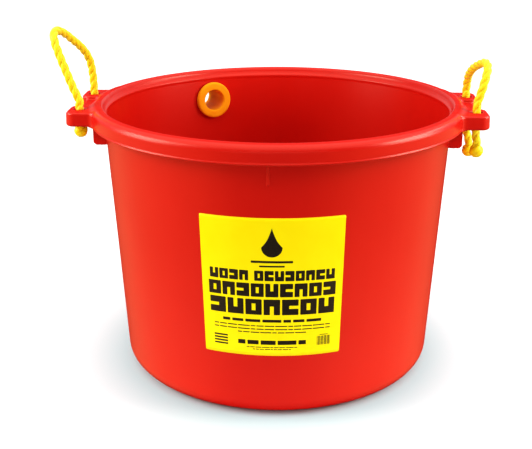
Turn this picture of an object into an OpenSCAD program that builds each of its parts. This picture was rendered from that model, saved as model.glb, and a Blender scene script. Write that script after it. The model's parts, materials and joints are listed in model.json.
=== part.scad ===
// Round moulded stable bucket with two rope handles and an overflow bushing in its wall.
// Frame: origin at the centre of the base, +Z up, -Y is the side with the label. Millimetres.

/* [Tub] */
// Outer diameter of the rim
rim_d = 560; // [552:1:580]
// Height of the rim's top above the base
tub_h = 410; // [400:1:430]
// Width of the rim, from the opening to the outer edge
rim_w = 18; // [17:0.5:20]
// Thickness of the side wall
wall_t = 4; // [3:0.5:4.5]
// Thickness of the floor of the tub
floor_t = 5; // [4:0.5:8]
// Depth of the skirt that hangs from the rim's outer edge
skirt_h = 27; // [24:1:28]
// Thickness of the skirt and of the rim's flat top
skirt_t = 3.5; // [3:0.5:4]
// Diameter that the side wall would have at the ground
base_d = 474; // [460:1:480]
// Radius of the outer corner between the wall and the base
corner_r = 30; // [20:1:40]
// Height of the ring that the tub stands on
foot_h = 3; // [2:0.5:4]

/* [Handle ears] */
// Distance from the centre to the flat outer end of an ear
ear_reach = 308; // [304:0.5:308]
// Width of one ear along the rim
ear_w = 54; // [46:1:56]
// Height of an ear's top below the rim's top
ear_drop = 5; // [4:0.5:6]
// Distance between the two rope holes of one handle
hole_gap = 110; // [108:1:114]
// Distance from the centre to the middle of a rope hole, along X
hole_reach = 291; // [290.5:0.5:291.5]
// Diameter of a rope hole
hole_d = 18; // [17:0.5:19]
// Thickness of the shelf that joins the two ears
shelf_t = 6; // [5:0.5:8]
// Distance from the centre to the shelf's outer edge
shelf_reach = 298; // [290:1:300]
// Depth of the gusset plates below the rim's top
gusset_depth = 58.5; // [50:0.5:64]
// Thickness of a gusset plate
gusset_t = 4; // [3:0.5:6]

/* [Rope handles] */
// Diameter of the rope
rope_d = 12.5; // [11:0.5:12.5]
// Diameter of the knob that stops a rope's end
stopper_d = 21; // [20:0.5:22]

/* [Overflow bushing] */
// Direction of the bushing, counted from +X towards +Y
bushing_turn = 118; // [110:1:125]
// Height of the bushing's centre at the inner wall
bushing_z = 360; // [352:1:361]
// Diameter of the flange inside the tub
flange_d = 61; // [58:0.5:64]
// Thickness of the flange
flange_t = 6; // [5:0.5:8]
// Outer diameter of the sleeve's free end
sleeve_d = 40; // [39:0.5:40.5]
// Outer diameter of the sleeve's thread
thread_d = 41; // [41:0.5:42]
// Diameter of the water way through the sleeve
bore_d = 35; // [32:0.5:35]
// Length of the sleeve beyond the wall's inner surface
sleeve_out = 61; // [45:1:65]
// Outer diameter of the ring nut and its washer
nut_d = 46; // [45.5:0.5:46]
// Thickness of the ring nut
nut_t = 10; // [8:0.5:11]

/* [Label] */
// Width of the label round the wall, in degrees
label_angle = 45; // [30:1:50]
// Height of the label's lower edge
label_low = 100; // [80:1:120]
// Height of the label's upper edge
label_high = 305.5; // [260:0.5:320]

/* [Hidden] */

$fn = 96;
tub_red = [0.85, 0.10, 0.06];
rope_yellow = [1.0, 0.86, 0.05];
bushing_orange = [1.0, 0.56, 0.08];
label_yellow = [1.0, 0.93, 0.05];
gasket_black = [0.08, 0.08, 0.08];

rim_r = rim_d / 2;
base_r = base_d / 2;
skirt_z = tub_h - skirt_h;
skirt_in_r = rim_r - skirt_t;
under_z = tub_h - skirt_t - 1;
opening_r = rim_r - rim_w;
lip_r = 5;
edge_r = 6;
arc_step = 15;
draft = 0.0614;                     // how much the wall's radius grows for each millimetre up
draft_angle = atan(draft);

function wall_r(z) = base_r + draft * z;
function inner_r(z) = wall_r(z) - wall_t;

// Points of an arc about [x, z] of radius r, from angle a to angle b
function arc(x, z, r, a, b) =
    let (n = max(1, round(abs(b - a) / arc_step)))
    [for (i = [0:n]) let (t = a + (b - a) * i / n) [x + r * cos(t), z + r * sin(t)]];

// ---- tub -------------------------------------------------------------------------------
foot_r = 200;                       // inside edge of the ring that the tub stands on
inner_corner_r = corner_r - wall_t;
inner_corner_z = foot_h + floor_t + inner_corner_r;
// Middles of the two corner arcs, so that each runs smoothly into its side of the wall
corner_x = wall_r(corner_r) - corner_r / cos(draft_angle);
inner_corner_x = inner_r(inner_corner_z) - inner_corner_r / cos(draft_angle);
lip_foot_z = tub_h - lip_r - 8;     // where the lip's flare meets the inner wall

module tub_profile() {
    polygon(concat(
        [[0, foot_h], [foot_r - foot_h, foot_h], [foot_r, 0]],
        arc(corner_x, corner_r, corner_r, -90, -draft_angle),
        [[wall_r(under_z), under_z], [skirt_in_r, under_z], [skirt_in_r, skirt_z], [rim_r, skirt_z]],
        arc(rim_r - edge_r, tub_h - edge_r, edge_r, 0, 90),
        arc(opening_r + lip_r, tub_h - lip_r, lip_r, 90, 180),
        [[inner_r(lip_foot_z), lip_foot_z]],
        arc(inner_corner_x, inner_corner_z, inner_corner_r, -draft_angle, -90),
        [[0, foot_h + floor_t]]
    ));
}

ear_top = tub_h - ear_drop;
ear_low = skirt_z + 1;
ear_root_r = 268;                   // the ears and the shelf start inside the rim's hollow
ear_corner_r = 14;
ear_y = hole_gap / 2 + 4;           // the ear's middle lies a little outside its hole

function root_x(y) = sqrt(ear_root_r * ear_root_r - y * y);

// One ear, seen from above: a block with two rounded outer corners
module ear(turn) {
    c = ear_corner_r;
    y0 = turn * ear_y - ear_w / 2;
    y1 = turn * ear_y + ear_w / 2;
    translate([0, 0, ear_low]) linear_extrude(ear_top - ear_low) polygon(concat(
        [[root_x(y0), y0]],
        arc(ear_reach - c, y0 + c, c, -90, 0),
        arc(ear_reach - c, y1 - c, c, 0, 90),
        [[root_x(y1), y1]]
    ));
}

shelf_top = ear_top - 6;
shelf_half = ear_y - ear_w / 2 + 1;

// The low shelf that joins two ears
module shelf() {
    translate([ear_root_r, -shelf_half, shelf_top - shelf_t])
        cube([shelf_reach - ear_root_r, 2 * shelf_half, shelf_t]);
}

gusset_y = 60;
gusset_root_x = 251;                // inside the wall's thickness at a gusset
gusset_x = 272;
gusset_low = tub_h - gusset_depth;
gusset_high = under_z - 3.5;

// A plate between the wall and the rim's skirt, below an ear
module gusset(turn) {
    translate([gusset_root_x, turn * gusset_y - gusset_t / 2, gusset_low])
        cube([gusset_x - gusset_root_x, gusset_t, gusset_high - gusset_low]);
}

mark_w = 2.5;
mark_z = 351;
mark_h = 24;
mark_turn = -91.1;

// A short moulded rib on the front of the wall, just below the rim
module front_mark() {
    rotate([0, 0, mark_turn]) translate([wall_r(mark_z) - 1, -mark_w / 2, mark_z])
        rotate([0, draft_angle, 0]) cube([1.8, mark_w, mark_h]);
}

module at_bushing() {
    rotate([0, 0, bushing_turn]) translate([inner_r(bushing_z), 0, bushing_z])
        rotate([0, 90 + draft_angle, 0]) children();
}

seat_play = 0.3;

module tub() {
    color(tub_red) difference() {
        union() {
            rotate_extrude($fn = 192) tub_profile();
            front_mark();
            for (side = [0, 180]) rotate([0, 0, side]) {
                for (turn = [-1, 1]) {
                    ear(turn);
                    gusset(turn);
                }
                shelf();
            }
        }
        for (x = [-hole_reach, hole_reach], y = [-hole_gap / 2, hole_gap / 2])
            translate([x, y, skirt_z - 1]) cylinder(h = ear_top - skirt_z + 2, d = hole_d);
        at_bushing() translate([0, 0, -10]) cylinder(h = 24, d = thread_d + 2 * seat_play);
    }
}

// ---- label -----------------------------------------------------------------------------
label_gap = 0.1;
label_t = 0.4;

module front_label() {
    color(label_yellow) rotate([0, 0, -90 - label_angle / 2])
        rotate_extrude(angle = label_angle, $fn = 192) polygon([
            [wall_r(label_low) + label_gap, label_low],
            [wall_r(label_low) + label_gap + label_t, label_low],
            [wall_r(label_high) + label_gap + label_t, label_high],
            [wall_r(label_high) + label_gap, label_high],
        ]);
}

// ---- overflow bushing ------------------------------------------------------------------
// In its own frame +Z runs out through the wall and 0 is the wall's inner surface.
gasket_t = 2.8;
washer_t = 1.6;
bevel = 2;
countersink = 1.8;
flange_face = -gasket_t - flange_t;
nut_low = wall_t + washer_t;
thread_end = 22;

module overflow_bushing() {
    color(bushing_orange) at_bushing() difference() {
        union() {
            translate([0, 0, flange_face]) cylinder(h = bevel, d1 = flange_d - 2 * bevel, d2 = flange_d);
            translate([0, 0, flange_face + bevel]) cylinder(h = flange_t - bevel, d = flange_d);
            translate([0, 0, flange_face + bevel]) cylinder(h = thread_end - flange_face - bevel, d = thread_d);
            translate([0, 0, flange_face + bevel]) cylinder(h = sleeve_out - flange_face - bevel, d = sleeve_d);
        }
        translate([0, 0, flange_face - 1]) cylinder(h = sleeve_out - flange_face + 2, d = bore_d);
        translate([0, 0, flange_face])
            cylinder(h = countersink, d1 = bore_d + 2 * countersink, d2 = bore_d);
    }
}

seal_gap = 0.02;                    // between a seal and the curved wall behind it

module bushing_gasket() {
    color(gasket_black) intersection() {
        at_bushing() translate([0, 0, -gasket_t]) difference() {
            cylinder(h = gasket_t + 2, d = flange_d - 5);
            translate([0, 0, -1]) cylinder(h = gasket_t + 4, d = thread_d + seat_play);
        }
        cylinder(h = tub_h, r1 = inner_r(0) - seal_gap, r2 = inner_r(tub_h) - seal_gap, $fn = 720);
    }
}

module bushing_washer() {
    color(gasket_black) difference() {
        at_bushing() difference() {
            cylinder(h = nut_low, d = nut_d);
            translate([0, 0, -1]) cylinder(h = nut_low + 2, d = thread_d + seat_play);
        }
        cylinder(h = tub_h, r1 = wall_r(0) + seal_gap, r2 = wall_r(tub_h) + seal_gap, $fn = 720);
    }
}

nut_play = 0.1;
grip_count = 12;
grip_r = 1.2;

module bushing_nut() {
    color(bushing_orange) at_bushing() translate([0, 0, nut_low]) difference() {
        cylinder(h = nut_t, d = nut_d);
        translate([0, 0, -1]) cylinder(h = nut_t + 2, d = thread_d + nut_play);
        for (i = [0:grip_count - 1]) rotate([0, 0, i * 360 / grip_count])
            translate([nut_d / 2 + 0.3, 0, -1]) cylinder(h = nut_t + 2, r = grip_r, $fn = 24);
    }
}

// ---- rope handles ----------------------------------------------------------------------
rope_r = rope_d / 2;
stopper_r = stopper_d / 2;
ear_gap = 0.5;                      // left between a raised knob and the ear above it
hole_y = hole_gap / 2;
flat_drop = sqrt(stopper_r * stopper_r - rope_r * rope_r);
rope_sides = 12;

// The middle line of each handle above the axis that it flops about, from the front hole to the back one
left_loop = [[-291, -55, 417], [-299, -55, 436], [-308, -54, 460], [-317, -52, 484], [-323, -48, 501],
    [-326, -38, 512], [-324, -22, 514], [-318, -4, 507], [-310, 15, 494], [-302, 33, 480],
    [-295, 47, 462], [-292, 54, 440], [-291, 55, 417]];
right_loop = [[291, -55, 417], [295, -55, 431], [299, -54, 446], [303, -49, 460], [305, -38, 469],
    [303, -22, 471], [298, -4, 465], [293, 15, 456], [291, 33, 445], [291, 48, 433], [291, 55, 417]];

// The middle line of each rope end, from below the bend to the flat on its knob
left_knob_z = skirt_z - ear_gap - stopper_r;
left_end = [[-291, 410], [-291, 400], [-291, 391], [-291, left_knob_z + flat_drop]];
right_front_knob = [294, 347];
right_front_end = [[291, 410], [291, 395], [291, 382], [291.5, 374], [292.5, 367], [293.6, 361],
    [294, 357.5], [294, 347 + flat_drop]];
right_back_knob = [300, 319];
right_back_end = [[291, 410], [291, 395], [291, 382], [291.7, 372], [293.2, 360], [296, 347],
    [299, 336], [300, 330], [300, 319 + flat_drop]];

function with_y(points, y) = [for (p = points) [p.x, y, p.y]];
function unit(v) = v / norm(v);
function reversed(v) = [for (i = [len(v) - 1:-1:0]) v[i]];
function blend4(a, b, c, d, t) =
    0.5 * (2 * b + (c - a) * t + (2 * a - 5 * b + 4 * c - d) * t * t + (3 * b - a - 3 * c + d) * t * t * t);

// A smooth line through the points, with extra steps between each two
function smooth_line(p, steps) = let (n = len(p)) concat(
    [for (i = [0:n - 2], k = [0:steps - 1])
        blend4(p[max(i - 1, 0)], p[i], p[i + 1], p[min(i + 2, n - 1)], k / steps)],
    [p[n - 1]]);

function ring(c, t, r) =
    let (u = unit(cross(t, [1, 0, 0])), v = cross(t, u))
    [for (k = [0:rope_sides - 1]) let (a = 360 * k / rope_sides) c + r * (cos(a) * u + sin(a) * v)];

// A rope as one closed tube round a line, with the radius given at each point
module rope(line, radii) {
    n = len(line);
    tangents = [for (i = [0:n - 1])
        i == 0 || i == n - 1 ? [0, 0, sign(line[min(i + 1, n - 1)].z - line[max(i - 1, 0)].z)]
            : unit(line[i + 1] - line[i - 1])];
    points = [for (i = [0:n - 1]) each ring(line[i], tangents[i], radii[i])];
    sides = [for (i = [0:n - 2], k = [0:rope_sides - 1]) let (m = (k + 1) % rope_sides) each [
        [i * rope_sides + k, i * rope_sides + m, (i + 1) * rope_sides + m],
        [i * rope_sides + k, (i + 1) * rope_sides + m, (i + 1) * rope_sides + k]]];
    start = [for (k = [rope_sides - 1:-1:0]) k];
    end = [for (k = [0:rope_sides - 1]) (n - 1) * rope_sides + k];
    polyhedron(points, concat([start, end], sides), convexity = 8);
}

round_steps = [75, 50, 25];         // angles of the rings that round off a loop's two ends

// A handle's loop: its two ends are round about the axis that it bends on
module rope_loop(points) {
    line = smooth_line(points, 2);
    first = [for (a = round_steps) line[0] - [0, 0, rope_r * sin(a)]];
    last = [for (a = round_steps) line[len(line) - 1] - [0, 0, rope_r * sin(a)]];
    shrink = [for (a = round_steps) rope_r * cos(a)];
    color(rope_yellow) rope(
        concat(first, line, reversed(last)),
        concat(shrink, [for (p = line) rope_r], reversed(shrink)));
}

module rope_end(points, y) {
    color(rope_yellow) rope(with_y(points, y), [for (p = points) rope_r]);
}

// The melted knob on a rope's end, with a flat on top where the rope joins it
module stopper(x, y, z) {
    color(rope_yellow) translate([x, y, z]) difference() {
        sphere(stopper_r, $fn = 48);
        translate([-stopper_r, -stopper_r, flat_drop]) cube([stopper_d, stopper_d, stopper_r]);
    }
}

module left_rope_loop() { rope_loop(left_loop); }
module left_front_rope_end() { rope_end(left_end, -hole_y); }
module left_back_rope_end() { rope_end(left_end, hole_y); }
module left_front_stopper() { stopper(-hole_reach, -hole_y, left_knob_z); }
module left_back_stopper() { stopper(-hole_reach, hole_y, left_knob_z); }
module right_rope_loop() { rope_loop(right_loop); }
module right_front_rope_end() { rope_end(right_front_end, -hole_y); }
module right_back_rope_end() { rope_end(right_back_end, hole_y); }
module right_front_stopper() { stopper(right_front_knob.x, -hole_y, right_front_knob.y); }
module right_back_stopper() { stopper(right_back_knob.x, hole_y, right_back_knob.y); }

tub();
front_label();
overflow_bushing();
bushing_gasket();
bushing_washer();
bushing_nut();
left_rope_loop();
left_front_rope_end();
left_back_rope_end();
left_front_stopper();
left_back_stopper();
right_rope_loop();
right_front_rope_end();
right_back_rope_end();
right_front_stopper();
right_back_stopper();
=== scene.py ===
"""The stable bucket's looks: a moulded tub with rope handles, a wall label and an overflow bushing."""
import json
import math

import bpy
import numpy as np
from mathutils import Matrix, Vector


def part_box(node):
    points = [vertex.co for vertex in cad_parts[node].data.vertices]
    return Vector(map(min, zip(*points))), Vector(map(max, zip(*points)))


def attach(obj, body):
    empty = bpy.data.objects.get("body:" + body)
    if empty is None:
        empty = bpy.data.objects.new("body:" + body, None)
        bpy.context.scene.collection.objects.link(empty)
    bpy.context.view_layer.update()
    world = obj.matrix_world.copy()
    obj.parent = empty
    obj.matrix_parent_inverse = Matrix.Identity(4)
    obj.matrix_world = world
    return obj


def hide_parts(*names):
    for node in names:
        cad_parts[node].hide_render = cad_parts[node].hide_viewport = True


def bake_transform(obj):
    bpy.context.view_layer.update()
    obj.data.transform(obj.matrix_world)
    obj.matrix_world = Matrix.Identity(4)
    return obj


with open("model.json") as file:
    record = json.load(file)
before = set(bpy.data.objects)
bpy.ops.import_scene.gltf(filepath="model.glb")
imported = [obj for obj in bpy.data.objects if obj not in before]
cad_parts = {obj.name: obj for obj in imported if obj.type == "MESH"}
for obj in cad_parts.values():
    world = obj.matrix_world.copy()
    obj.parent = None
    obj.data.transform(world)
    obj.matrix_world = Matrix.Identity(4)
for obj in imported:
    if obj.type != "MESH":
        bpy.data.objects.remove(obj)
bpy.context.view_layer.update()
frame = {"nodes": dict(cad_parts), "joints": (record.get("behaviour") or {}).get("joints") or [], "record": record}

MM = 0.001


# ---- mesh helpers ----------------------------------------------------------------------
def make_piece(name, points, faces, material, smooth=True):
    """A mesh object from points in metres and faces."""
    mesh = bpy.data.meshes.new(name)
    mesh.from_pydata([tuple(p) for p in np.asarray(points, float)], [], faces)
    mesh.polygons.foreach_set("use_smooth", [smooth] * len(mesh.polygons))
    mesh.materials.append(material)
    mesh.validate()
    piece = bpy.data.objects.new(name, mesh)
    bpy.context.scene.collection.objects.link(piece)
    return piece


def shade_by(piece, normals):
    """Gives each point of a piece its own normal. A zero normal leaves Blender's."""
    piece.data.normals_split_custom_set_from_vertices([tuple(n) for n in normals])


def grid_faces(rows, columns, wrap, start=0):
    """Four-sided faces between rows of points. With wrap, each row is a closed ring."""
    last = columns if wrap else columns - 1
    faces = []
    for i in range(rows - 1):
        for j in range(last):
            a = start + i * columns + j
            b = start + i * columns + (j + 1) % columns
            faces.append((a, b, b + columns, a + columns))
    return faces


def unit(v):
    return v / np.maximum(np.linalg.norm(v, axis=-1, keepdims=True), 1e-12)


# ---- materials -------------------------------------------------------------------------
def new_material(name, color, roughness, **settings):
    """A principled material. settings are values for its shader's sockets."""
    material = bpy.data.materials.new(name)
    material.use_nodes = True
    nodes, links = material.node_tree.nodes, material.node_tree.links
    shader = nodes["Principled BSDF"]
    shader.inputs["Base Color"].default_value = (*color, 1)
    shader.inputs["Roughness"].default_value = roughness
    for socket, value in settings.items():
        shader.inputs[socket.replace("_", " ")].default_value = value
    return material, nodes, links, shader


def noise(nodes, links, scale, detail=3.0, stretch=(1, 1, 1), source=None, roughness=0.5):
    """A noise texture on the piece's own coordinates, or on another vector."""
    if source is None:
        source = nodes.new("ShaderNodeTexCoord").outputs["Object"]
    mapping = nodes.new("ShaderNodeMapping")
    mapping.inputs["Scale"].default_value = stretch
    links.new(source, mapping.inputs["Vector"])
    texture = nodes.new("ShaderNodeTexNoise")
    texture.inputs["Scale"].default_value = scale
    texture.inputs["Detail"].default_value = detail
    texture.inputs["Roughness"].default_value = roughness
    links.new(mapping.outputs["Vector"], texture.inputs["Vector"])
    return texture.outputs["Fac"]


def ranged(nodes, links, value, low, high, from_low=0.3, from_high=0.7):
    """A value moved from one range to another."""
    node = nodes.new("ShaderNodeMapRange")
    node.inputs["From Min"].default_value = from_low
    node.inputs["From Max"].default_value = from_high
    node.inputs["To Min"].default_value = low
    node.inputs["To Max"].default_value = high
    links.new(value, node.inputs["Value"])
    return node.outputs["Result"]


def math_node(nodes, links, operation, a, b):
    node = nodes.new("ShaderNodeMath")
    node.operation = operation
    for socket, value in zip(node.inputs, (a, b)):
        if isinstance(value, (int, float)):
            socket.default_value = value
        else:
            links.new(value, socket)
    return node.outputs[0]


def mixed(nodes, links, share, a, b):
    """A mix of two colours. Each is a colour or another node's output."""
    node = nodes.new("ShaderNodeMix")
    node.data_type = "RGBA"
    links.new(share, node.inputs["Factor"])
    for name, value in (("A", a), ("B", b)):
        socket = [s for s in node.inputs if s.name == name and s.type == "RGBA"][0]
        if isinstance(value, tuple):
            socket.default_value = (*value, 1)
        else:
            links.new(value, socket)
    return [s for s in node.outputs if s.type == "RGBA"][0]


def bumped(nodes, links, shader, layers):
    """Bump from several heights. layers is a list of (height, depth in metres)."""
    normal = None
    for height, depth in layers:
        bump = nodes.new("ShaderNodeBump")
        bump.inputs["Strength"].default_value = 1.0
        bump.inputs["Distance"].default_value = depth
        links.new(height, bump.inputs["Height"])
        if normal is not None:
            links.new(normal, bump.inputs["Normal"])
        normal = bump.outputs["Normal"]
    links.new(normal, shader.inputs["Normal"])


FLAT_TOP = (0.86, 0.97)                 # how far up a surface faces, from sloping to flat


def tub_plastic():
    """Red polyethylene: slight mottling, faint flow lines, an orange-peel skin and fine scuffs.

    Surfaces that face up are dull.
    """
    material, nodes, links, shader = new_material(
        "tub_polyethylene", (0.62, 0.009, 0.004), 0.3, Specular_IOR_Level=0.5,
        Specular_Tint=(1.0, 0.80, 0.62, 1.0))
    cloudy = ranged(nodes, links, noise(nodes, links, 5.0, 3.0), 0, 1)
    flow = ranged(nodes, links, noise(nodes, links, 40.0, 3.0, (1, 1, 0.12)), 0, 1)
    body = mixed(nodes, links, cloudy, (0.60, 0.0075, 0.0035), (0.64, 0.011, 0.005))
    streaked = mixed(nodes, links, math_node(nodes, links, "MULTIPLY", flow, 0.1), body, (0.72, 0.016, 0.006))
    scuffs = ranged(nodes, links, noise(nodes, links, 160.0, 6.0, (1, 1, 0.3), roughness=0.75), 0, 1, 0.64, 0.82)
    worn = mixed(nodes, links, math_node(nodes, links, "MULTIPLY", scuffs, 0.06), streaked, (0.78, 0.10, 0.06))
    links.new(worn, shader.inputs["Base Color"])
    skin = ranged(nodes, links, noise(nodes, links, 9.0, 3.0), 0.29, 0.33)
    facing = nodes.new("ShaderNodeSeparateXYZ")
    links.new(nodes.new("ShaderNodeNewGeometry").outputs["Normal"], facing.inputs["Vector"])
    links.new(ranged(nodes, links, facing.outputs["Z"], 0.5, 0.1, *FLAT_TOP), shader.inputs["Specular IOR Level"])
    dull = math_node(nodes, links, "ADD", math_node(nodes, links, "MULTIPLY", scuffs, 0.18),
                     ranged(nodes, links, facing.outputs["Z"], 0, 0.3, *FLAT_TOP))
    links.new(math_node(nodes, links, "ADD", skin, dull), shader.inputs["Roughness"])
    bumped(nodes, links, shader, [
        (noise(nodes, links, 7.0, 1.0), 0.0012),
        (noise(nodes, links, 420.0, 2.0), 0.00003),
        (noise(nodes, links, 1400.0, 2.0), 0.00001),
    ])
    return material


def bushing_plastic():
    """Orange moulded plastic with a fine even skin."""
    material, nodes, links, shader = new_material(
        "bushing_plastic", (1.0, 0.40, 0.01), 0.5, Specular_IOR_Level=0.08, Specular_Tint=(1.0, 0.6, 0.2, 1.0))
    cloudy = ranged(nodes, links, noise(nodes, links, 60.0, 4.0), 0, 1)
    links.new(mixed(nodes, links, cloudy, (0.98, 0.35, 0.008), (1.0, 0.42, 0.012)), shader.inputs["Base Color"])
    links.new(ranged(nodes, links, noise(nodes, links, 200.0, 4.0), 0.45, 0.55), shader.inputs["Roughness"])
    bumped(nodes, links, shader, [(noise(nodes, links, 900.0, 3.0), 0.00004)])
    return material


def seal_rubber():
    """Black rubber with a grey bloom."""
    material, nodes, links, shader = new_material("seal_rubber", (0.02, 0.02, 0.02), 0.7)
    bloom = ranged(nodes, links, noise(nodes, links, 90.0, 5.0), 0, 1)
    links.new(mixed(nodes, links, bloom, (0.014, 0.014, 0.015), (0.045, 0.044, 0.042)), shader.inputs["Base Color"])
    bumped(nodes, links, shader, [(noise(nodes, links, 1500.0, 3.0), 0.00006)])
    return material


def label_vinyl():
    """Satin yellow vinyl over a wall that is never quite even."""
    material, nodes, links, shader = new_material(
        "label_vinyl", (1.0, 0.80, 0.0), 0.42, Specular_IOR_Level=0.15)
    cloudy = ranged(nodes, links, noise(nodes, links, 30.0, 4.0), 0, 1)
    links.new(mixed(nodes, links, cloudy, (1.0, 0.79, 0.0), (1.0, 0.83, 0.002)), shader.inputs["Base Color"])
    links.new(ranged(nodes, links, noise(nodes, links, 240.0, 4.0), 0.36, 0.5), shader.inputs["Roughness"])
    bumped(nodes, links, shader, [(noise(nodes, links, 20.0, 2.0), 0.0005),
                                  (noise(nodes, links, 1600.0, 2.0), 0.00002)])
    return material


def label_ink():
    """Dark printing ink with slightly uneven cover."""
    material, nodes, links, shader = new_material("label_ink", (0.02, 0.012, 0.008), 0.4)
    uneven = ranged(nodes, links, noise(nodes, links, 500.0, 4.0), 0, 1)
    links.new(mixed(nodes, links, uneven, (0.014, 0.009, 0.007), (0.035, 0.024, 0.012)), shader.inputs["Base Color"])
    links.new(ranged(nodes, links, noise(nodes, links, 300.0, 3.0), 0.34, 0.48), shader.inputs["Roughness"])
    return material


def rope_fibre(name, bright, deep, melted):
    """Yellow polypropylene: fibres along the rope, painted ochre shade in the hollows between the strands, and a waxy
    skin where it melted.
    """
    material, nodes, links, shader = new_material(
        name, bright, 0.45, Specular_IOR_Level=0.4, Sheen_Weight=0.0 if melted else 0.25, Sheen_Roughness=0.4)
    along = nodes.new("ShaderNodeAttribute")
    along.attribute_name = "rope_way"
    # Painted shade: this attribute tells how deep a point lies in the hollow between two strands.
    groove_shade = nodes.new("ShaderNodeAttribute")
    groove_shade.attribute_name = "groove_shade"
    fibres = noise(nodes, links, 900.0, 4.0, (1, 1, 0.09), along.outputs["Vector"])
    patches = noise(nodes, links, 90.0, 3.0, (1, 1, 0.4), along.outputs["Vector"])
    lit = mixed(nodes, links, ranged(nodes, links, patches, 0, 1), bright, (1.0, 0.82, 0.006))
    fine = mixed(nodes, links, ranged(nodes, links, fibres, 0.0, 0.4), lit, (0.97, 0.70, 0.004))
    # Painted shade: points in the hollows between the strands are mixed towards the darker ochre colour deep.
    links.new(mixed(nodes, links, groove_shade.outputs["Fac"], fine, deep), shader.inputs["Base Color"])
    links.new(ranged(nodes, links, patches, 0.3 if melted else 0.42, 0.42 if melted else 0.6),
              shader.inputs["Roughness"])
    bumped(nodes, links, shader, [(fibres, 0.0001 if melted else 0.00035)])
    return material


tub_material = tub_plastic()
bushing_material = bushing_plastic()
rubber_material = seal_rubber()
label_material = label_vinyl()
ink_material = label_ink()
# The third colour of each rope material is the painted shade in the hollows between the strands.
rope_material = rope_fibre("rope_polypropylene", (1.0, 0.86, 0.004), (0.80, 0.48, 0.003), False)
knob_material = rope_fibre("rope_melted", (1.0, 0.78, 0.004), (0.70, 0.38, 0.003), True)


# ---- tub: sizes in millimetres ---------------------------------------------------------
tub_high = np.array(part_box("tub")[1]) / MM
TUB_H = tub_high[2]
RIM_R = tub_high[1]
EAR_REACH = tub_high[0]
BASE_R = 237.0                          # radius that the wall would have at the ground
DRAFT = 0.0614                          # how much the radius grows for each millimetre up
WALL_T = 4.0
SKIRT_H = 27.0
SKIRT_T = 3.5
RIM_W = 18.0
EDGE_R = 11.0
LIP_R = 5.0
FOOT_H = 3.0
FOOT_R = 200.0
FLOOR_T = 5.0
CORNER_R = 30.0
EAR_TOP = TUB_H - 5.0
EAR_LOW = TUB_H - SKIRT_H + 1.0
EAR_Y = (32.0, 86.0)
EAR_CORNER_R = 14.0
EAR_EDGE_R = 3.4
EAR_LEAN = 0.04                         # how much an ear narrows for each millimetre up
ROOT_R = 268.0
FLOP_AT = frame["joints"][1]["pos_m"]   # a point on the axis that the left handle flops about
HOLE_X = abs(FLOP_AT[0]) / MM
HOLE_Y = 55.0
HOLE_R = 9.0
SHELF_REACH = 298.0
SHELF_Z = (EAR_TOP - 12.0, EAR_TOP - 6.0)
GUSSET_Y = 60.0
GUSSET_X = (249.5, 272.0)
GUSSET_LOW = TUB_H - 58.5
MARK_TURN = math.radians(-91.1)
MARK_Z = (351.0, 384.0)

bushing = next(m for m in frame["record"]["mounts"] if m["name"] == "overflow_bore")
BUSHING_AXIS = np.array(bushing["axis"])
BUSHING_TURN = math.atan2(BUSHING_AXIS[1], BUSHING_AXIS[0])
BUSHING_Z = 360.0
SEAT_R = 20.8


def wall_r(z):
    """Radius of the wall's outer surface."""
    return BASE_R + DRAFT * z


def inner_r(z):
    return wall_r(z) - WALL_T


BUSHING_AT = np.array([inner_r(BUSHING_Z) * math.cos(BUSHING_TURN),
                       inner_r(BUSHING_Z) * math.sin(BUSHING_TURN), BUSHING_Z])


def joined(a, b, blend):
    """Union of two distances with a fillet."""
    h = np.maximum(blend - np.abs(a - b), 0) / blend
    return np.minimum(a, b) - h * h * blend / 4


def cut(a, b, blend):
    """b taken out of a, with a rounded edge."""
    return -joined(-a, b, blend)


def strip(r, z, a, b, half):
    """Distance from a straight wall between two profile points."""
    dr, dz = b[0] - a[0], b[1] - a[1]
    t = np.clip(((r - a[0]) * dr + (z - a[1]) * dz) / (dr * dr + dz * dz), 0, 1)
    return np.hypot(r - a[0] - t * dr, z - a[1] - t * dz) - half


def bend(r, z, middle, radius, side, half):
    """Distance from a quarter-round wall, above its middle and on one side of it."""
    ring = np.abs(np.hypot(r - middle[0], z - middle[1]) - radius) - half
    return np.where(((r - middle[0]) * side >= 0) & (z >= middle[1]), ring, 1e3)


def block(u, v, w, size_u, size_v, size_w, corner, edge):
    """Distance from a plate in u and v with round corners, and a round edge where it ends in w."""
    def reach(x, size, inset):
        return np.abs(x - (size[0] + size[1]) / 2) - (size[1] - size[0]) / 2 + inset

    qu, qv = reach(u, size_u, corner), reach(v, size_v, corner)
    flat = np.hypot(np.maximum(qu, 0), np.maximum(qv, 0)) + np.minimum(np.maximum(qu, qv), 0) - corner + edge
    deep = reach(w, size_w, edge)
    return np.hypot(np.maximum(flat, 0), np.maximum(deep, 0)) + np.minimum(np.maximum(flat, deep), 0) - edge


def rim_and_wall(r, z):
    half = SKIRT_T / 2
    skirt_r = RIM_R - half
    corner = (RIM_R - EDGE_R, TUB_H - EDGE_R)
    lip = (RIM_R - RIM_W + LIP_R, TUB_H - LIP_R)
    top_z = TUB_H - half
    lip_r = LIP_R - half
    wall_top = TUB_H - LIP_R - 8
    wall = strip(r, z, (wall_r(200) - WALL_T / 2, 200), (wall_r(wall_top) - WALL_T / 2, wall_top), WALL_T / 2)
    flare = strip(r, z, (wall_r(wall_top) - WALL_T / 2, wall_top), (lip[0] - lip_r, lip[1]), half)
    skirt = strip(r, z, (skirt_r, TUB_H - SKIRT_H + half), (skirt_r, corner[1]), half)
    top = strip(r, z, (corner[0], top_z), (lip[0], top_z), half)
    outer = bend(r, z, corner, EDGE_R - half, 1, half)
    inner = bend(r, z, lip, lip_r, -1, half)
    rim = np.minimum(np.minimum(skirt, top), np.minimum(outer, inner))
    bead = np.hypot(r - (RIM_R - 0.7), z - (TUB_H - SKIRT_H + 1.5)) - 1.5
    rim = joined(rim, bead, 0.8)
    return joined(rim, joined(wall, flare, 3.0), 1.2)


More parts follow.
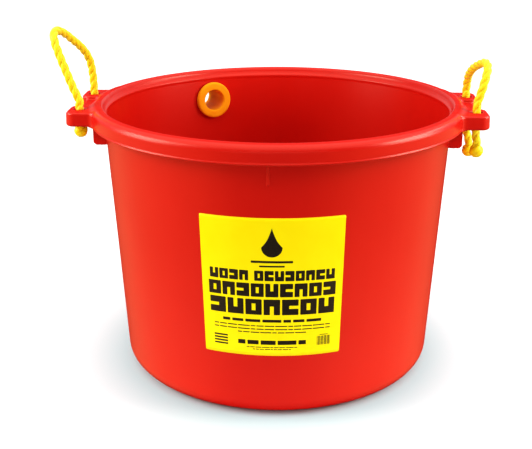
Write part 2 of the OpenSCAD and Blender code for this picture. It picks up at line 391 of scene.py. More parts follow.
def tub_distance(p):
    """Distance from the tub's surface near its rim. It is negative inside the plastic."""
    x, y, z = p[..., 0], p[..., 1], p[..., 2]
    r, ax, ay = np.hypot(x, y), np.abs(x), np.abs(y)
    body = rim_and_wall(r, z)
    ear = block(ax + EAR_LEAN * (z - EAR_LOW), ay, z, (240.0, EAR_REACH), EAR_Y, (EAR_LOW, EAR_TOP),
                EAR_CORNER_R, EAR_EDGE_R)
    shelf = block(ax, ay, z, (240.0, SHELF_REACH), (-40.0, 40.0), SHELF_Z, 4.0, 2.0)
    lug = cut(joined(ear, shelf, 4.0), r - ROOT_R, 1.5)
    gusset = block(ax, z, ay, GUSSET_X, (GUSSET_LOW, TUB_H - 8), (GUSSET_Y - 2, GUSSET_Y + 2), 6.0, 0.9)
    body = joined(body, np.maximum(gusset, wall_r(z) - 1.0 - r), 1.2)
    body = joined(body, lug, 9.0)
    body = cut(body, np.hypot(ax - HOLE_X, ay - HOLE_Y) - HOLE_R, 2.4)
    out = x * math.cos(MARK_TURN) + y * math.sin(MARK_TURN)
    side = -x * math.sin(MARK_TURN) + y * math.cos(MARK_TURN)
    mark = block(side, z, out - wall_r(z), (-1.5, 1.5), MARK_Z, (-2.0, 1.7), 1.4, 1.3)
    body = joined(body, mark, 0.8)
    along = (p - BUSHING_AT) @ BUSHING_AXIS
    seat = np.linalg.norm(p - BUSHING_AT - along[..., None] * BUSHING_AXIS, axis=-1) - SEAT_R
    return cut(body, np.where(np.abs(along) < 40, seat, 40), 0.6)


def gradient(distance, p):
    step = 0.02
    slopes = []
    for axis in range(3):
        shift = np.zeros(3)
        shift[axis] = step
        slopes.append((distance(p + shift) - distance(p - shift)) / (2 * step))
    return np.stack(slopes, -1)


def settle(distance, p, rounds=5):
    """Moves points onto the surface where the distance is nought."""
    for _ in range(rounds):
        slope = gradient(distance, p)
        away = distance(p)[..., None]
        step = away * slope / np.maximum((slope * slope).sum(-1, keepdims=True), 0.1)
        length = np.linalg.norm(step, axis=-1, keepdims=True)
        p = p - step * np.minimum(1, 1.5 / np.maximum(length, 1e-9))
    return p


def surface_net(turns, radii, heights, distance):
    """The surface of a distance function on a ring-shaped grid, as points and four-sided faces."""
    grid = np.stack(np.meshgrid(turns, radii, heights, indexing="ij"), -1)
    spread = np.stack([grid[..., 1] * np.cos(grid[..., 0]), grid[..., 1] * np.sin(grid[..., 0]), grid[..., 2]], -1)
    field = np.concatenate([distance(part) for part in np.array_split(spread, 16)])
    inside = field < 0
    shape = np.array(field.shape)
    totals, counts, quads, flips = np.zeros((*shape, 3)), np.zeros(shape), [], []
    for axis in range(3):
        beyond = np.roll(field, -1, axis)
        crossed = inside != (beyond < 0)
        if axis:
            edge = [slice(None)] * 3
            edge[axis] = -1
            crossed[tuple(edge)] = False
        at = np.argwhere(crossed)
        share = (field / np.where(crossed, field - beyond, 1))[crossed]
        others = [a for a in range(3) if a != axis]
        ring, whole = [], np.ones(len(at), bool)
        for steps in ((-1, -1), (0, -1), (0, 0), (-1, 0)):
            cell = at.copy()
            local = np.zeros((len(at), 3))
            local[:, axis] = share
            for other, step in zip(others, steps):
                cell[:, other] += step
                local[:, other] = -step
            cell[:, 0] %= shape[0]
            fits = ((cell[:, 1:] >= 0) & (cell[:, 1:] < shape[1:] - 1)).all(1)
            np.add.at(totals, tuple(cell[fits].T), local[fits])
            np.add.at(counts, tuple(cell[fits].T), 1)
            whole &= fits
            ring.append(np.ravel_multi_index(tuple(np.maximum(cell, 0).T), tuple(shape)))
        quads.append(np.stack(ring, 1)[whole])
    quads = np.concatenate(quads)
    used, faces = np.unique(quads, return_inverse=True)
    faces = faces.reshape(quads.shape)
    cell = np.stack(np.unravel_index(used, tuple(shape)), 1)
    local = totals[tuple(cell.T)] / counts[tuple(cell.T)][:, None]
    around = np.append(turns, turns[0] + 2 * math.pi)
    turn = around[cell[:, 0]] + local[:, 0] * np.diff(around)[cell[:, 0]]
    radius = radii[cell[:, 1]] + local[:, 1] * np.diff(radii)[cell[:, 1]]
    height = heights[cell[:, 2]] + local[:, 2] * np.diff(heights)[cell[:, 2]]
    points = settle(distance, np.stack([radius * np.cos(turn), radius * np.sin(turn), height], 1))
    corners = points[faces]
    facing = np.cross(corners[:, 2] - corners[:, 0], corners[:, 3] - corners[:, 1])
    wrong = (facing * gradient(distance, corners.mean(1))).sum(1) < 0
    faces[wrong] = faces[wrong][:, ::-1]
    return points, faces


def columns():
    """Directions of the grid's columns: close together at the ears, the bushing and the front mark."""
    fine = [(0.0, 21.0, 0.42), (math.pi, 21.0, 0.42), (BUSHING_TURN, 7.0, 0.5), (MARK_TURN, 1.4, 0.16)]
    turns, turn = [], -math.pi + 0.001
    while turn < math.pi - 0.002:
        turns.append(turn)
        step = 1.5
        for middle, reach, close in fine:
            off = abs(math.remainder(turn - middle, 2 * math.pi))
            step = min(step, max(close, close + 0.35 * (math.degrees(off) - reach)))
        turn += math.radians(step)
    return np.array(turns)


def open_loops(faces):
    """The loops of edges that only one face uses, each in order."""
    ends = {(a, b) for f in faces for a, b in zip(f, np.roll(f, -1))}
    follows = {a: b for a, b in ends if (b, a) not in ends}
    loops = []
    while follows:
        start, loop = next(iter(follows)), []
        while start in follows:
            loop.append(start)
            start = follows.pop(start)
        loops.append(loop)
    return loops


def arc(x, z, radius, start, end, steps):
    turns = np.radians(np.linspace(start, end, steps + 1))
    return [(x + radius * math.cos(t), z + radius * math.sin(t)) for t in turns]


def lower_profiles(join_z):
    """Profile points below the grid: the outside down to the base, and the inside down to the floor."""
    lean = math.degrees(math.atan(DRAFT))
    slant = 1 / math.cos(math.radians(lean))
    corner_x = wall_r(CORNER_R) - CORNER_R * slant
    inner_corner_r = CORNER_R - WALL_T
    floor_z = FOOT_H + FLOOR_T
    inner_x = inner_r(floor_z + inner_corner_r) - inner_corner_r * slant
    walls = np.linspace(join_z, CORNER_R, 9)[1:-1]
    outside = [(wall_r(z), z) for z in walls]
    outside += arc(corner_x, CORNER_R, CORNER_R, -lean, -90, 12)
    outside += arc(FOOT_R + 1, 1, 1, -90, -180, 3) + arc(FOOT_R - 1.5, FOOT_H - 1.5, 1.5, 0, 90, 3)
    outside += [(r, FOOT_H) for r in (180, 140, 90, 40)]
    outside += arc(6, FOOT_H + 0.6, 0.6, -90, -180, 2) + [(4, FOOT_H + 1)]
    inside = [(inner_r(z), z) for z in walls]
    inside += arc(inner_x, floor_z + inner_corner_r, inner_corner_r, -lean, -90, 12)
    inside += [(r, floor_z) for r in (180, 140, 90, 40, 12)] + [(9, floor_z - 0.3), (5, floor_z - 0.8)]
    return outside, inside


def make_tub():
    """The whole tub: a fine net for the rim, the ears and the wall's top, and turned rings below."""
    join_z = 332.0
    heights = np.concatenate([np.arange(join_z, 378, 2.6), np.arange(379.5, TUB_H + 2.5, 1.25)])
    radii = np.arange(244.0, math.hypot(EAR_REACH, EAR_Y[1]) + 4, 1.3)
    points, faces = surface_net(columns(), radii, heights, tub_distance)
    normals = list(unit(gradient(tub_distance, points)))
    points, faces = list(points), [tuple(int(i) for i in f) for f in faces]
    outside, inside = lower_profiles(join_z)
    for loop in open_loops(faces):
        turns = [math.atan2(points[i][1], points[i][0]) for i in loop]
        outer = np.hypot(*points[loop[0]][:2]) > wall_r(join_z) - WALL_T / 2
        above = loop
        for radius, z in outside if outer else inside:
            start = len(points)
            points += [np.array([radius * math.cos(t), radius * math.sin(t), z]) for t in turns]
            below = list(range(start, start + len(loop)))
            for a, b, c, d in zip(above, np.roll(above, -1), np.roll(below, -1), below):
                faces.append((int(b), int(a), int(d), int(c)))
            above = below
        faces.append(tuple(above[::-1]))
    normals += [np.zeros(3)] * (len(points) - len(normals))
    piece = make_piece("tub_moulding", np.array(points) * MM, faces, tub_material)
    shade_by(piece, normals)
    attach(piece, "tub")
    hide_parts("tub")
    return piece


make_tub()


# ---- label and its print ---------------------------------------------------------------
label_low, label_high = (np.array(corner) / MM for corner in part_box("front_label"))
LABEL_Z = (label_low[2], label_high[2])
LABEL_HALF = math.radians(22.5)
LABEL_MIDDLE = -math.pi / 2
LABEL_GAP = 0.1
LABEL_T = 0.4
LABEL_CORNER = 2.5
INK_T = 0.06
LABEL_W = 2 * LABEL_HALF * wall_r(sum(LABEL_Z) / 2)
LABEL_H = LABEL_Z[1] - LABEL_Z[0]


def on_wall(x, y, proud):
    """A point of the wall from label sizes in millimetres, right and up from the label's middle."""
    z = (LABEL_Z[0] + LABEL_Z[1]) / 2 + y
    turn = LABEL_MIDDLE + x / LABEL_W * 2 * LABEL_HALF
    radius = wall_r(z) + proud
    return [radius * math.cos(turn) * MM, radius * math.sin(turn) * MM, z * MM]


def thick_patch(xs, lows, highs, rows, under, over):
    """A closed thin slab on the wall. Each column x runs from its low to its high."""
    points, faces = [], []
    for proud in (over, under):
        for x, low, high in zip(xs, lows, highs):
            points += [on_wall(x, low + (high - low) * k / rows, proud) for k in range(rows + 1)]
    n, m = len(xs), rows + 1
    half = n * m
    for i in range(n - 1):
        for k in range(rows):
            a, b = i * m + k, (i + 1) * m + k
            faces += [(a, b, b + 1, a + 1), (half + a, half + a + 1, half + b + 1, half + b)]
        a, b = i * m, (i + 1) * m
        faces += [(a, half + a, half + b, b), (a + rows, b + rows, half + b + rows, half + a + rows)]
    for k in range(rows):
        a, b = k, (n - 1) * m + k
        faces += [(a, a + 1, half + a + 1, half + a), (b, half + b, half + b + 1, b + 1)]
    return points, faces


def rounded_column_ends(xs, half_w, half_h, corner):
    """How far each column of a round-cornered rectangle reaches up."""
    inset = np.maximum(np.abs(xs) - (half_w - corner), 0)
    return half_h - corner + np.sqrt(np.maximum(corner * corner - inset * inset, 0))


def make_label():
    half_w, half_h = LABEL_W / 2, LABEL_H / 2
    side = half_w - LABEL_CORNER * (1 - np.cos(np.radians(np.linspace(0, 90, 7))))
    xs = np.concatenate([-side, np.linspace(-side[-1], side[-1], 60)[1:-1], side[::-1]])
    highs = rounded_column_ends(xs, half_w, half_h, LABEL_CORNER)
    points, faces = thick_patch(xs, -highs, highs, 40, LABEL_GAP, LABEL_GAP + LABEL_T)
    piece = make_piece("label_sheet", points, faces, label_material)
    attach(piece, "tub")
    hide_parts("front_label")


ink_points, ink_faces = [], []


def print_patch(xs, lows, highs, rows=1):
    """Adds one printed shape, as columns, to the label's ink."""
    points, faces = thick_patch(xs, lows, highs, rows, LABEL_GAP + LABEL_T - 0.02, LABEL_GAP + LABEL_T + INK_T)
    start = len(ink_points)
    ink_points.extend(points)
    ink_faces.extend(tuple(start + i for i in f) for f in faces)


def bar(x, y, width, height, corner=0.8):
    """A printed bar with round corners, about its middle."""
    corner = min(corner, width / 2, height / 2)
    side = width / 2 - corner * (1 - np.cos(np.radians(np.linspace(0, 90, 4))))
    inner = np.linspace(-side[-1], side[-1], max(2, int(width / 4) + 2))
    xs = np.concatenate([-side[:-1], inner, side[:-1][::-1]])
    highs = rounded_column_ends(xs, width / 2, height / 2, corner)
    print_patch(xs + x, y - highs, y + highs)


def drop(x, y, height, width):
    """A printed water drop: round below and pointed above."""
    xs = np.sin(np.radians(np.linspace(-90, 90, 33))) * width / 2
    radius = width / 2
    round_z = y - height / 2 + radius
    lows = round_z - np.sqrt(np.maximum(radius * radius - xs * xs, 0))
    taper = 1 - np.abs(xs) / radius
    highs = round_z + (height - radius) * (0.45 * taper ** 3 + 0.55 * taper) + 0.02
    print_patch(x + xs, lows, highs, 2)


def emblem(kind, x, y, width, height):
    """One bold block of a heading, with a notch on one side or a window. It stands for no letter."""
    slot_h, slot_w = 0.20 * height, 0.24 * width
    half_h, half_w = (height - slot_h) / 2, (width - slot_w) / 2
    deep = 0.56 * (width if kind in ("left", "right") else height)
    if kind in ("left", "right"):
        out = 1 if kind == "right" else -1
        for side in (-1, 1):
            bar(x, y + side * (height - half_h) / 2, width, half_h, 0.9)
        bar(x - out * deep / 2, y, width - deep, slot_h + 1, 0.1)
    elif kind in ("up", "down"):
        out = 1 if kind == "up" else -1
        for side in (-1, 1):
            bar(x + side * (width - half_w) / 2, y, half_w, height, 0.9)
        bar(x, y - out * deep / 2, slot_w + 1, height - deep, 0.1)
    else:
        for side in (-1, 1):
            bar(x + side * (width - half_w) / 2, y, half_w, height, 0.9)
            bar(x, y + side * 0.36 * height, slot_w + 1, 0.28 * height, 0.1)


def block_line(y, height, width, gap, kinds):
    """A row of bold blocks, centred, that stands for a heading. "space" leaves a gap."""
    total = sum(0.4 * width if kind == "space" else width for kind in kinds) + gap * (len(kinds) - 1)
    x = -total / 2
    for kind in kinds:
        step = 0.4 * width if kind == "space" else width
        if kind != "space":
            emblem(kind, x + step / 2, y, step, height)
        x += step + gap


def dashed_line(y, height, left, right, pieces, gap):
    """A thin line in dashes of uneven length, that stands for small print."""
    shares = np.array([2 + (i * 5) % 4 for i in range(pieces)], float)
    lengths = shares / shares.sum() * (right - left - gap * (pieces - 1))
    x = left
    for length in lengths:
        bar(x + length / 2, y, length, height, 0.3)
        x += length + gap


def make_print():
    """Plain shapes only: a water drop, two bars, three rows of blocks, thin lines and stripes."""
    top = LABEL_H / 2
    drop(0, top - 35, 42, 28)
    bar(0, top - 63, 56, 3.2)
    bar(0, top - 69.5, 34, 2.4)
    block_line(top - 83.5, 15.0, 12.2, 1.7, ["up", "window", "left", "down", "space", "window", "right", "up", "left",
                                             "window", "down", "right", "up"])
    block_line(top - 105, 20.0, 17.6, 2.2, ["window", "down", "left", "window", "up", "right", "down", "window",
                                            "left"])
    block_line(top - 130.5, 23.5, 22.6, 2.6, ["left", "up", "window", "down", "right", "window", "up"])
    dashed_line(top - 151.5, 4.2, -69, 69, 7, 3.0)
    for k, half in enumerate((82, 82, 48)):
        dashed_line(top - 159.5 - 5.0 * k, 1.5, -half, half, 13 if half > 50 else 8, 1.4)
    dashed_line(top - 185, 6.5, -48, 48, 5, 3.0)
    for k, half in enumerate((36, 27)):
        dashed_line(top - 192.5 - 3.2 * k, 1.1, -half, half, 9, 1.0)
    for k in range(4):
        bar(-73, top - 177.5 - 4.4 * k, 20, 2.4, 0.6)
    for k in range(13):
        bar(64 + 1.55 * k, top - 184, 0.5 + 0.35 * ((k * 7) % 3), 14, 0.1)
    bar(73.5, top - 175.2, 12, 1.0, 0.2)
    piece = make_piece("label_print", ink_points, ink_faces, ink_material, smooth=False)
    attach(piece, "tub")


make_label()
make_print()


# ---- overflow bushing ------------------------------------------------------------------
GASKET_T = 2.8
FLANGE_T = 6.0
FLANGE_R = 30.5
SLEEVE_R = 20.0
THREAD_R = 20.5
THREAD_END = 22.0
BORE_R = 17.5
SLEEVE_END = 61.0
NUT_LOW = WALL_T + 1.6
NUT_T = 10.0
NUT_R = 23.0
THREAD_PITCH = 2.5
THREAD_DEPTH = 0.7
across = unit(np.cross(BUSHING_AXIS, (0.0, 0.0, 1.0)))
upward = np.cross(across, BUSHING_AXIS)


def turned(name, profile, material, nodes, wobble=None, sides=96):
    """A closed ring turned about the bushing's axis from a closed profile of (radius, height)."""
    points = []
    for radius, height in profile:
        for k in range(sides):
            turn = 2 * math.pi * k / sides
            r = radius + (wobble(radius, height, turn) if wobble else 0)
            points.append((BUSHING_AT + BUSHING_AXIS * height
                           + r * (math.cos(turn) * across + math.sin(turn) * upward)) * MM)
    faces = [f[::-1] for f in grid_faces(len(profile), sides, True)]
    last = (len(profile) - 1) * sides
    faces += [(j, (j + 1) % sides, last + (j + 1) % sides, last + j) for j in range(sides)]
    piece = make_piece(name, points, faces, material)
    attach(piece, "tub")
    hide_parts(*nodes)
    return piece


def make_bushing():
    face = -GASKET_T - FLANGE_T
    profile = arc(BORE_R + 1.8, face + 1.8, 1.8, 180, 270, 5)
    profile += [(BORE_R + 4, face), (FLANGE_R - 5, face)]
    profile += arc(FLANGE_R - 3.2, face + 3.2, 3.2, -75, -15, 6)
    profile += [(FLANGE_R, face + 3.4)] + arc(FLANGE_R - 0.6, -GASKET_T - 0.6, 0.6, 0, 90, 3)
    profile += [(THREAD_R + 0.4, -GASKET_T), (THREAD_R, -GASKET_T + 0.4)]
    profile += [(THREAD_R, z) for z in np.arange(0, THREAD_END - 0.4, 0.4)]
    profile += [(THREAD_R - 0.1, THREAD_END - 0.2), (SLEEVE_R, THREAD_END + 0.3)]
    profile += [(SLEEVE_R, z) for z in (28, 36, 44, 52)] + arc(SLEEVE_R - 0.9, SLEEVE_END - 0.9, 0.9, 0, 90, 4)
    profile += arc(BORE_R + 0.5, SLEEVE_END - 0.5, 0.5, 90, 180, 3) + [(BORE_R, z) for z in (45, 30, 15, 0)]

    def thread(radius, height, turn):
        if radius < THREAD_R - 0.01 or not WALL_T < height < THREAD_END - 0.4:
            return 0.0
        wave = abs(((height / THREAD_PITCH - turn / (2 * math.pi)) % 1) * 2 - 1)
        runout = min(1.0, (THREAD_END - 0.4 - height) / 2, (height - WALL_T) / 2)
        return -THREAD_DEPTH * runout * min(1.0, max(0.0, 2.2 * wave - 0.6))

    piece = turned("bushing_body", profile, bushing_material, ["overflow_bushing"], thread)


def make_nut():
    low, high = NUT_LOW, NUT_LOW + NUT_T
    inner = THREAD_R + 0.05
    profile = arc(inner + 0.5, low + 0.5, 0.5, 180, 270, 2) + arc(NUT_R - 0.8, low + 0.8, 0.8, -90, 0, 4)
    profile += [(NUT_R, z) for z in np.linspace(low + 1.5, high - 1.5, 6)]
    profile += arc(NUT_R - 0.8, high - 0.8, 0.8, 0, 90, 4) + arc(inner + 0.5, high - 0.5, 0.5, 90, 180, 2)

    def grips(radius, height, turn):
        if radius < NUT_R - 1:
            return 0.0
        near = abs(math.remainder(turn, math.pi / 6)) * NUT_R
        return -1.2 * math.exp(-(near / 1.3) ** 2)

    piece = turned("bushing_ring_nut", profile, bushing_material, ["bushing_nut"], grips, sides=288)


def keep_seals():
    """The two seals keep their CAD shape, which follows the curved wall."""
    for name in ("bushing_gasket", "bushing_washer"):
        seal = frame["nodes"][name]
        seal.data.materials.clear()
        seal.data.materials.append(rubber_material)


make_bushing()
make_nut()
keep_seals()


# ---- rope handles ----------------------------------------------------------------------
ROPE_R = 0.00625
LAY_LENGTH = 0.040                      # one full turn of the strands
LEFT_LOOP = [(-0.291, -0.055, 0.417), (-0.299, -0.055, 0.436), (-0.308, -0.054, 0.460),
             (-0.317, -0.052, 0.484), (-0.323, -0.048, 0.501), (-0.326, -0.038, 0.512),
             (-0.324, -0.022, 0.514), (-0.318, -0.004, 0.507), (-0.310, 0.015, 0.494),
             (-0.302, 0.033, 0.480), (-0.295, 0.047, 0.462), (-0.292, 0.054, 0.440), (-0.291, 0.055, 0.417)]
RIGHT_LOOP = [(0.291, -0.055, 0.417), (0.295, -0.055, 0.431), (0.299, -0.054, 0.446), (0.303, -0.049, 0.460),
              (0.305, -0.038, 0.469), (0.303, -0.022, 0.471), (0.298, -0.004, 0.465), (0.293, 0.015, 0.456),
              (0.291, 0.033, 0.445), (0.291, 0.048, 0.433), (0.291, 0.055, 0.417)]
LEFT_KNOB = (-0.291, 0.372)
LEFT_END = [(-0.291, 0.410), (-0.291, 0.400), (-0.291, 0.391), (-0.291, 0.3805)]
RIGHT_FRONT_KNOB = (0.294, 0.347)
RIGHT_FRONT_END = [(0.291, 0.410), (0.291, 0.395), (0.291, 0.382), (0.2915, 0.374), (0.2925, 0.367),
                   (0.2936, 0.361), (0.294, 0.3575), (0.294, 0.3555)]
RIGHT_BACK_KNOB = (0.300, 0.319)
RIGHT_BACK_END = [(0.291, 0.410), (0.291, 0.395), (0.291, 0.382), (0.2917, 0.372), (0.2932, 0.360),
                  (0.296, 0.347), (0.299, 0.336), (0.300, 0.330), (0.300, 0.3275)]
KNOB_R = 0.0105


def smooth_line(points, spacing):
    """An even, smooth line through the points."""
    p = np.array(points, float)
    p = np.vstack([2 * p[0] - p[1], p, 2 * p[-1] - p[-2]])
    fine = []
    for i in range(1, len(p) - 2):
        for t in np.arange(24) / 24:
            a, b, c, d = p[i - 1:i + 3]
            fine.append(0.5 * (2 * b + (c - a) * t + (2 * a - 5 * b + 4 * c - d) * t * t
                               + (3 * b - a - 3 * c + d) * t ** 3))
    fine = np.array(fine + [p[-2]])
    walked = np.append(0, np.cumsum(np.linalg.norm(np.diff(fine, axis=0), axis=1)))
    even = np.linspace(0, walked[-1], int(round(walked[-1] / spacing)) + 1)
    return np.stack([np.interp(even, walked, fine[:, k]) for k in range(3)], 1), walked[-1]


def carried_frames(line):
    """Two directions across the line at each point, that never twist about it."""
    ways = unit(np.gradient(line, axis=0))
    side = unit(np.cross(ways[0], (0.0, 1.0, 0.0)))
    first = []
    for way in ways:
        side = unit(side - way * (side @ way))
        first.append(side)
    first = np.array(first)
    return first, np.cross(ways, first)


def make_rope(name, route, nodes):
    """One length of three-strand rope from knob to knob, which bends where it leaves the ears."""
    sides = 84
    line, length = smooth_line(route, 0.0013)
    first, second = carried_frames(line)
    walked = np.linspace(0, length, len(line))[:, None]
    turn = np.linspace(0, 2 * math.pi, sides, endpoint=False)[None, :]
    phase = turn - 2 * math.pi * walked / LAY_LENGTH
    lobe = np.abs(np.cos(1.5 * phase)) ** 0.62
    yarns = np.abs(np.sin(11 * turn + 0.7 * np.sin(3 * phase)))
    slack = 0.012 * np.sin(walked / 0.011 + 2 * np.cos(phase)) + 0.010 * np.sin(walked / 0.0047 + 3 * turn)
    radius = ROPE_R * (0.70 + 0.30 * lobe) * (1 + slack) - 0.00022 * (1 - yarns ** 0.7) * lobe
    points = (line[:, None] + radius[..., None]
              * (np.cos(turn)[..., None] * first[:, None] + np.sin(turn)[..., None] * second[:, None]))
    points = np.vstack([points.reshape(-1, 3), line[:1], line[-1:]])
    faces = grid_faces(len(line), sides, True)
    ring_end = (len(line) - 1) * sides
    first_pole, last_pole = len(points) - 2, len(points) - 1
    faces += [((j + 1) % sides, j, first_pole) for j in range(sides)]
    faces += [(ring_end + j, ring_end + (j + 1) % sides, last_pole) for j in range(sides)]
    piece = make_piece(name, points, faces, rope_material)
    way = np.stack([ROPE_R * np.cos(turn) + 0 * walked, ROPE_R * np.sin(turn) + 0 * walked,
                    walked + 0 * turn], -1).reshape(-1, 3)
    # Painted shade: the second array is how much darker ochre each point gets, most in the hollows between the
    # strands.
    add_attributes(piece, np.vstack([way, way[:1], way[-1:]]),
                   np.append(0.85 * (1 - lobe).ravel() ** 1.2, [0, 0]))
    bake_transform(piece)
    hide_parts(*nodes)
    print(name, "is", round(length * 1000, 1), "mm long")
    return piece


def add_attributes(piece, way, groove_shade):
    """Stores the way along the rope and the painted shade in the hollows between its strands, for the material."""
    stored = piece.data.attributes.new("rope_way", "FLOAT_VECTOR", "POINT")
    stored.data.foreach_set("vector", np.asarray(way, np.float32).ravel())
    # Painted shade: the amount of darker ochre for each point.
    depth = piece.data.attributes.new("groove_shade", "FLOAT", "POINT")
    depth.data.foreach_set("value", np.clip(groove_shade, 0, 1).astype(np.float32))


def make_knob(name, middle, node, body, seed):
    """A lump of melted rope: the three strands still show where they run into it, with painted shade in the hollows
    between them.
    """
    rings, sides = 44, 60
    rng = np.random.default_rng(seed)
    waves = [(rng.integers(1, 5), rng.integers(1, 5), rng.uniform(0, 6.28), rng.uniform(0.25, 0.55))
             for _ in range(6)]
    down = np.linspace(0, math.pi, rings + 2)[1:-1, None]
    turn = np.linspace(0, 2 * math.pi, sides, endpoint=False)[None, :]
    strands = np.abs(np.cos(1.5 * (turn + 1.6 * down))) ** 0.6
    lumps = sum(size * np.sin(a * turn + p) * np.sin(b * down) for a, b, p, size in waves) * 0.02
    fade = np.sin(down) ** 0.5
    radius = KNOB_R * (0.965 + lumps * fade - 0.16 * (1 - strands) * np.exp(-((down - 0.9) / 1.0) ** 2))
    points = np.stack([radius * np.sin(down) * np.cos(turn), radius * np.sin(down) * np.sin(turn),
                       radius * np.cos(down) + 0 * turn], -1).reshape(-1, 3)
    points = np.vstack([points, [(0, 0, KNOB_R * 0.95), (0, 0, -KNOB_R * 0.965)]])
    faces = [f[::-1] for f in grid_faces(rings, sides, True)]
    last = (rings - 1) * sides
    faces += [(j, (j + 1) % sides, rings * sides) for j in range(sides)]
    faces += [(last + (j + 1) % sides, last + j, rings * sides + 1) for j in range(sides)]
    piece = make_piece(name, points + np.array(middle), faces, knob_material)
    # Painted shade in the hollows where the strands run into the knob.
    knob_groove_shade = 0.8 * (1 - strands) * np.exp(-((down - 0.9) / 1.0) ** 2)
    add_attributes(piece, points, np.append(knob_groove_shade.ravel(), [0, 0]))
    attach(piece, body)
    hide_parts(node)
    return piece


def make_handle(side, loop, front_end, back_end, front_knob, back_knob, seed):
    """One handle: its rope and its two knobs."""
    ends_body, loop_body = side + "_rope_ends", side + "_handle"
    y = HOLE_Y * MM
    knobs = [
        make_knob(side + "_front_knob", (front_knob[0], -y, front_knob[1]), side + "_front_stopper", ends_body, seed),
        make_knob(side + "_back_knob", (back_knob[0], y, back_knob[1]), side + "_back_stopper", ends_body, seed + 1),
    ]
    route = [(x, -y, z) for x, z in front_end[::-1]] + loop + [(x, y, z) for x, z in back_end]
    make_rope(side + "_rope", route,
              [side + "_rope_loop", side + "_front_rope_end", side + "_back_rope_end"])


make_handle("left", LEFT_LOOP, LEFT_END, LEFT_END, LEFT_KNOB, LEFT_KNOB, 11)
make_handle("right", RIGHT_LOOP, RIGHT_FRONT_END, RIGHT_BACK_END, RIGHT_FRONT_KNOB, RIGHT_BACK_KNOB, 23)


# ---- studio ----------------------------------------------------------------------------
def make_floor():
    """A plain white floor. Close to the tub it throws more light back, and for the camera it shows a painted contact
    shadow: darker, and cooler to cancel the red light that the tub bounces onto it.
    """
    material, nodes, links, shader = new_material("studio_floor", (0.86, 0.86, 0.86), 0.9, Specular_IOR_Level=0.0)
    distance = nodes.new("ShaderNodeVectorMath")
    distance.operation = "LENGTH"
    links.new(nodes.new("ShaderNodeTexCoord").outputs["Object"], distance.inputs[0])
    thrown = ranged(nodes, links, distance.outputs["Value"], 0.86, 0.10, 0.32, 0.75)
    # Painted shadow: as the camera sees it, the floor turns darker and cyan close to the tub.
    painted_contact_shadow = mixed(nodes, links, ranged(nodes, links, distance.outputs["Value"], 0, 1, 0.245, 0.36),
                  (0.51, 0.70, 0.71), (0.855, 0.87, 0.87))
    seen = nodes.new("ShaderNodeLightPath").outputs["Is Camera Ray"]
    links.new(mixed(nodes, links, seen, thrown, painted_contact_shadow), shader.inputs["Base Color"])
    far = ranged(nodes, links, distance.outputs["Value"], 0, 0.25, 0.5, 3.0)
    links.new(math_node(nodes, links, "MULTIPLY", seen, far), shader.inputs["Emission Strength"])
    shader.inputs["Emission Color"].default_value = (1, 1, 1, 1)
    size = 12.0
    floor = make_piece("studio_floor", [(-size, -size, 0), (size, -size, 0), (size, size, 0), (-size, size, 0)],
                       [(0, 1, 2, 3)], material)
    floor.visible_glossy = False


def add_softbox(name, at, width, height, power, target=(0, 0, 0.35)):
    light = bpy.data.lights.new(name, "AREA")
    light.shape = "RECTANGLE"
    light.size, light.size_y = width, height
    light.energy = power
    box = bpy.data.objects.new(name, light)
    box.location = at
    box.rotation_euler = (Vector(target) - Vector(at)).to_track_quat("-Z", "Y").to_euler()
    bpy.context.scene.collection.objects.link(box)
    return box


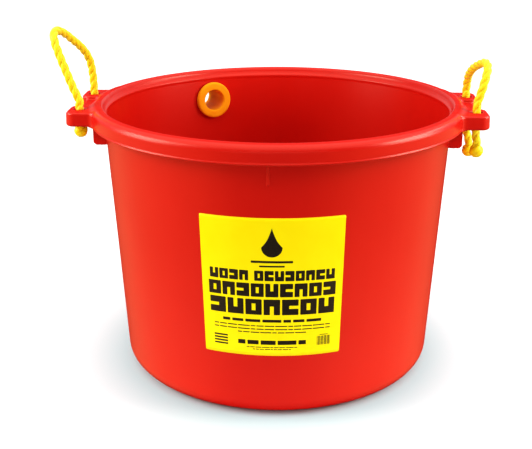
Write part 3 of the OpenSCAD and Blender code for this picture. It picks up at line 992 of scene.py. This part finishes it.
def make_world():
    """A room with a bright ceiling and back wall. It is dark below and behind the camera."""
    world = bpy.data.worlds.new("studio")
    bpy.context.scene.world = world
    world.use_nodes = True
    nodes, links = world.node_tree.nodes, world.node_tree.links
    nodes.clear()
    parts = nodes.new("ShaderNodeSeparateXYZ")
    links.new(nodes.new("ShaderNodeTexCoord").outputs["Generated"], parts.inputs["Vector"])
    ceiling = ranged(nodes, links, parts.outputs["Z"], 0, CEILING_LIGHT, 0.35, 0.85)
    back = ranged(nodes, links, parts.outputs["Y"], 0, BACK_LIGHT, 0.1, 0.7)
    above = ranged(nodes, links, parts.outputs["Z"], 0, 1, -0.05, 0.1)
    below = ranged(nodes, links, parts.outputs["Z"], 1, 0, -0.1, 0.0)
    off_middle = math_node(nodes, links, "ABSOLUTE", parts.outputs["X"], 0)
    sideways = ranged(nodes, links, off_middle, 0, SIDE_GLOW, 0.3, 0.75)
    room = math_node(nodes, links, "ADD",
                     math_node(nodes, links, "MULTIPLY", math_node(nodes, links, "MAXIMUM", ceiling, back), above),
                     math_node(nodes, links, "MULTIPLY", sideways, below))
    seen = nodes.new("ShaderNodeLightPath").outputs["Is Camera Ray"]
    background = nodes.new("ShaderNodeBackground")
    warm = math_node(nodes, links, "MULTIPLY", below, math_node(nodes, links, "SUBTRACT", 1, seen))
    links.new(mixed(nodes, links, warm, (1.0, 1.0, 1.0), (1.0, 0.66, 0.34)), background.inputs["Color"])
    links.new(math_node(nodes, links, "MAXIMUM", room, seen), background.inputs["Strength"])
    out = nodes.new("ShaderNodeOutputWorld")
    links.new(background.outputs["Background"], out.inputs["Surface"])


def add_camera():
    """The camera stands in front, a little to the right and above the rim."""
    data = bpy.data.cameras.new("camera")
    data.lens, data.sensor_width = 69.08, 36.0
    data.clip_start, data.clip_end = 0.05, 50
    camera = bpy.data.objects.new("camera", data)
    azimuth, elevation, distance = math.radians(2.30), math.radians(19.03), 1.6113
    target = Vector((-0.0179, -0.0007, 0.2088))
    back = Vector((math.sin(azimuth) * math.cos(elevation), -math.cos(azimuth) * math.cos(elevation),
                   math.sin(elevation)))
    camera.location = target + back * distance
    camera.rotation_euler = (-back).to_track_quat("-Z", "Y").to_euler()
    bpy.context.scene.collection.objects.link(camera)
    bpy.context.scene.camera = camera


CEILING_LIGHT = 1.4
BACK_LIGHT = 0.6
SIDE_GLOW = 0.8
make_floor()
make_world()
add_softbox("front_fill", (0, -2.4, 0.5), 2.2, 0.7, 18, target=(0, 0, 0.3)).visible_glossy = False
add_softbox("left_softbox", (-1.6, -0.35, 0.8), 1.0, 0.8, 15.5)
add_softbox("right_softbox", (1.6, -0.25, 0.8), 1.0, 0.8, 17)
add_softbox("left_strip", (-1.45, -0.45, 1.15), 1.5, 0.2, 5)
add_softbox("right_strip", (1.5, 0.1, 1.15), 1.5, 0.2, 6)
add_camera()
bpy.context.scene.view_settings.view_transform = "Standard"
bpy.context.scene.view_settings.look = "Medium High Contrast"
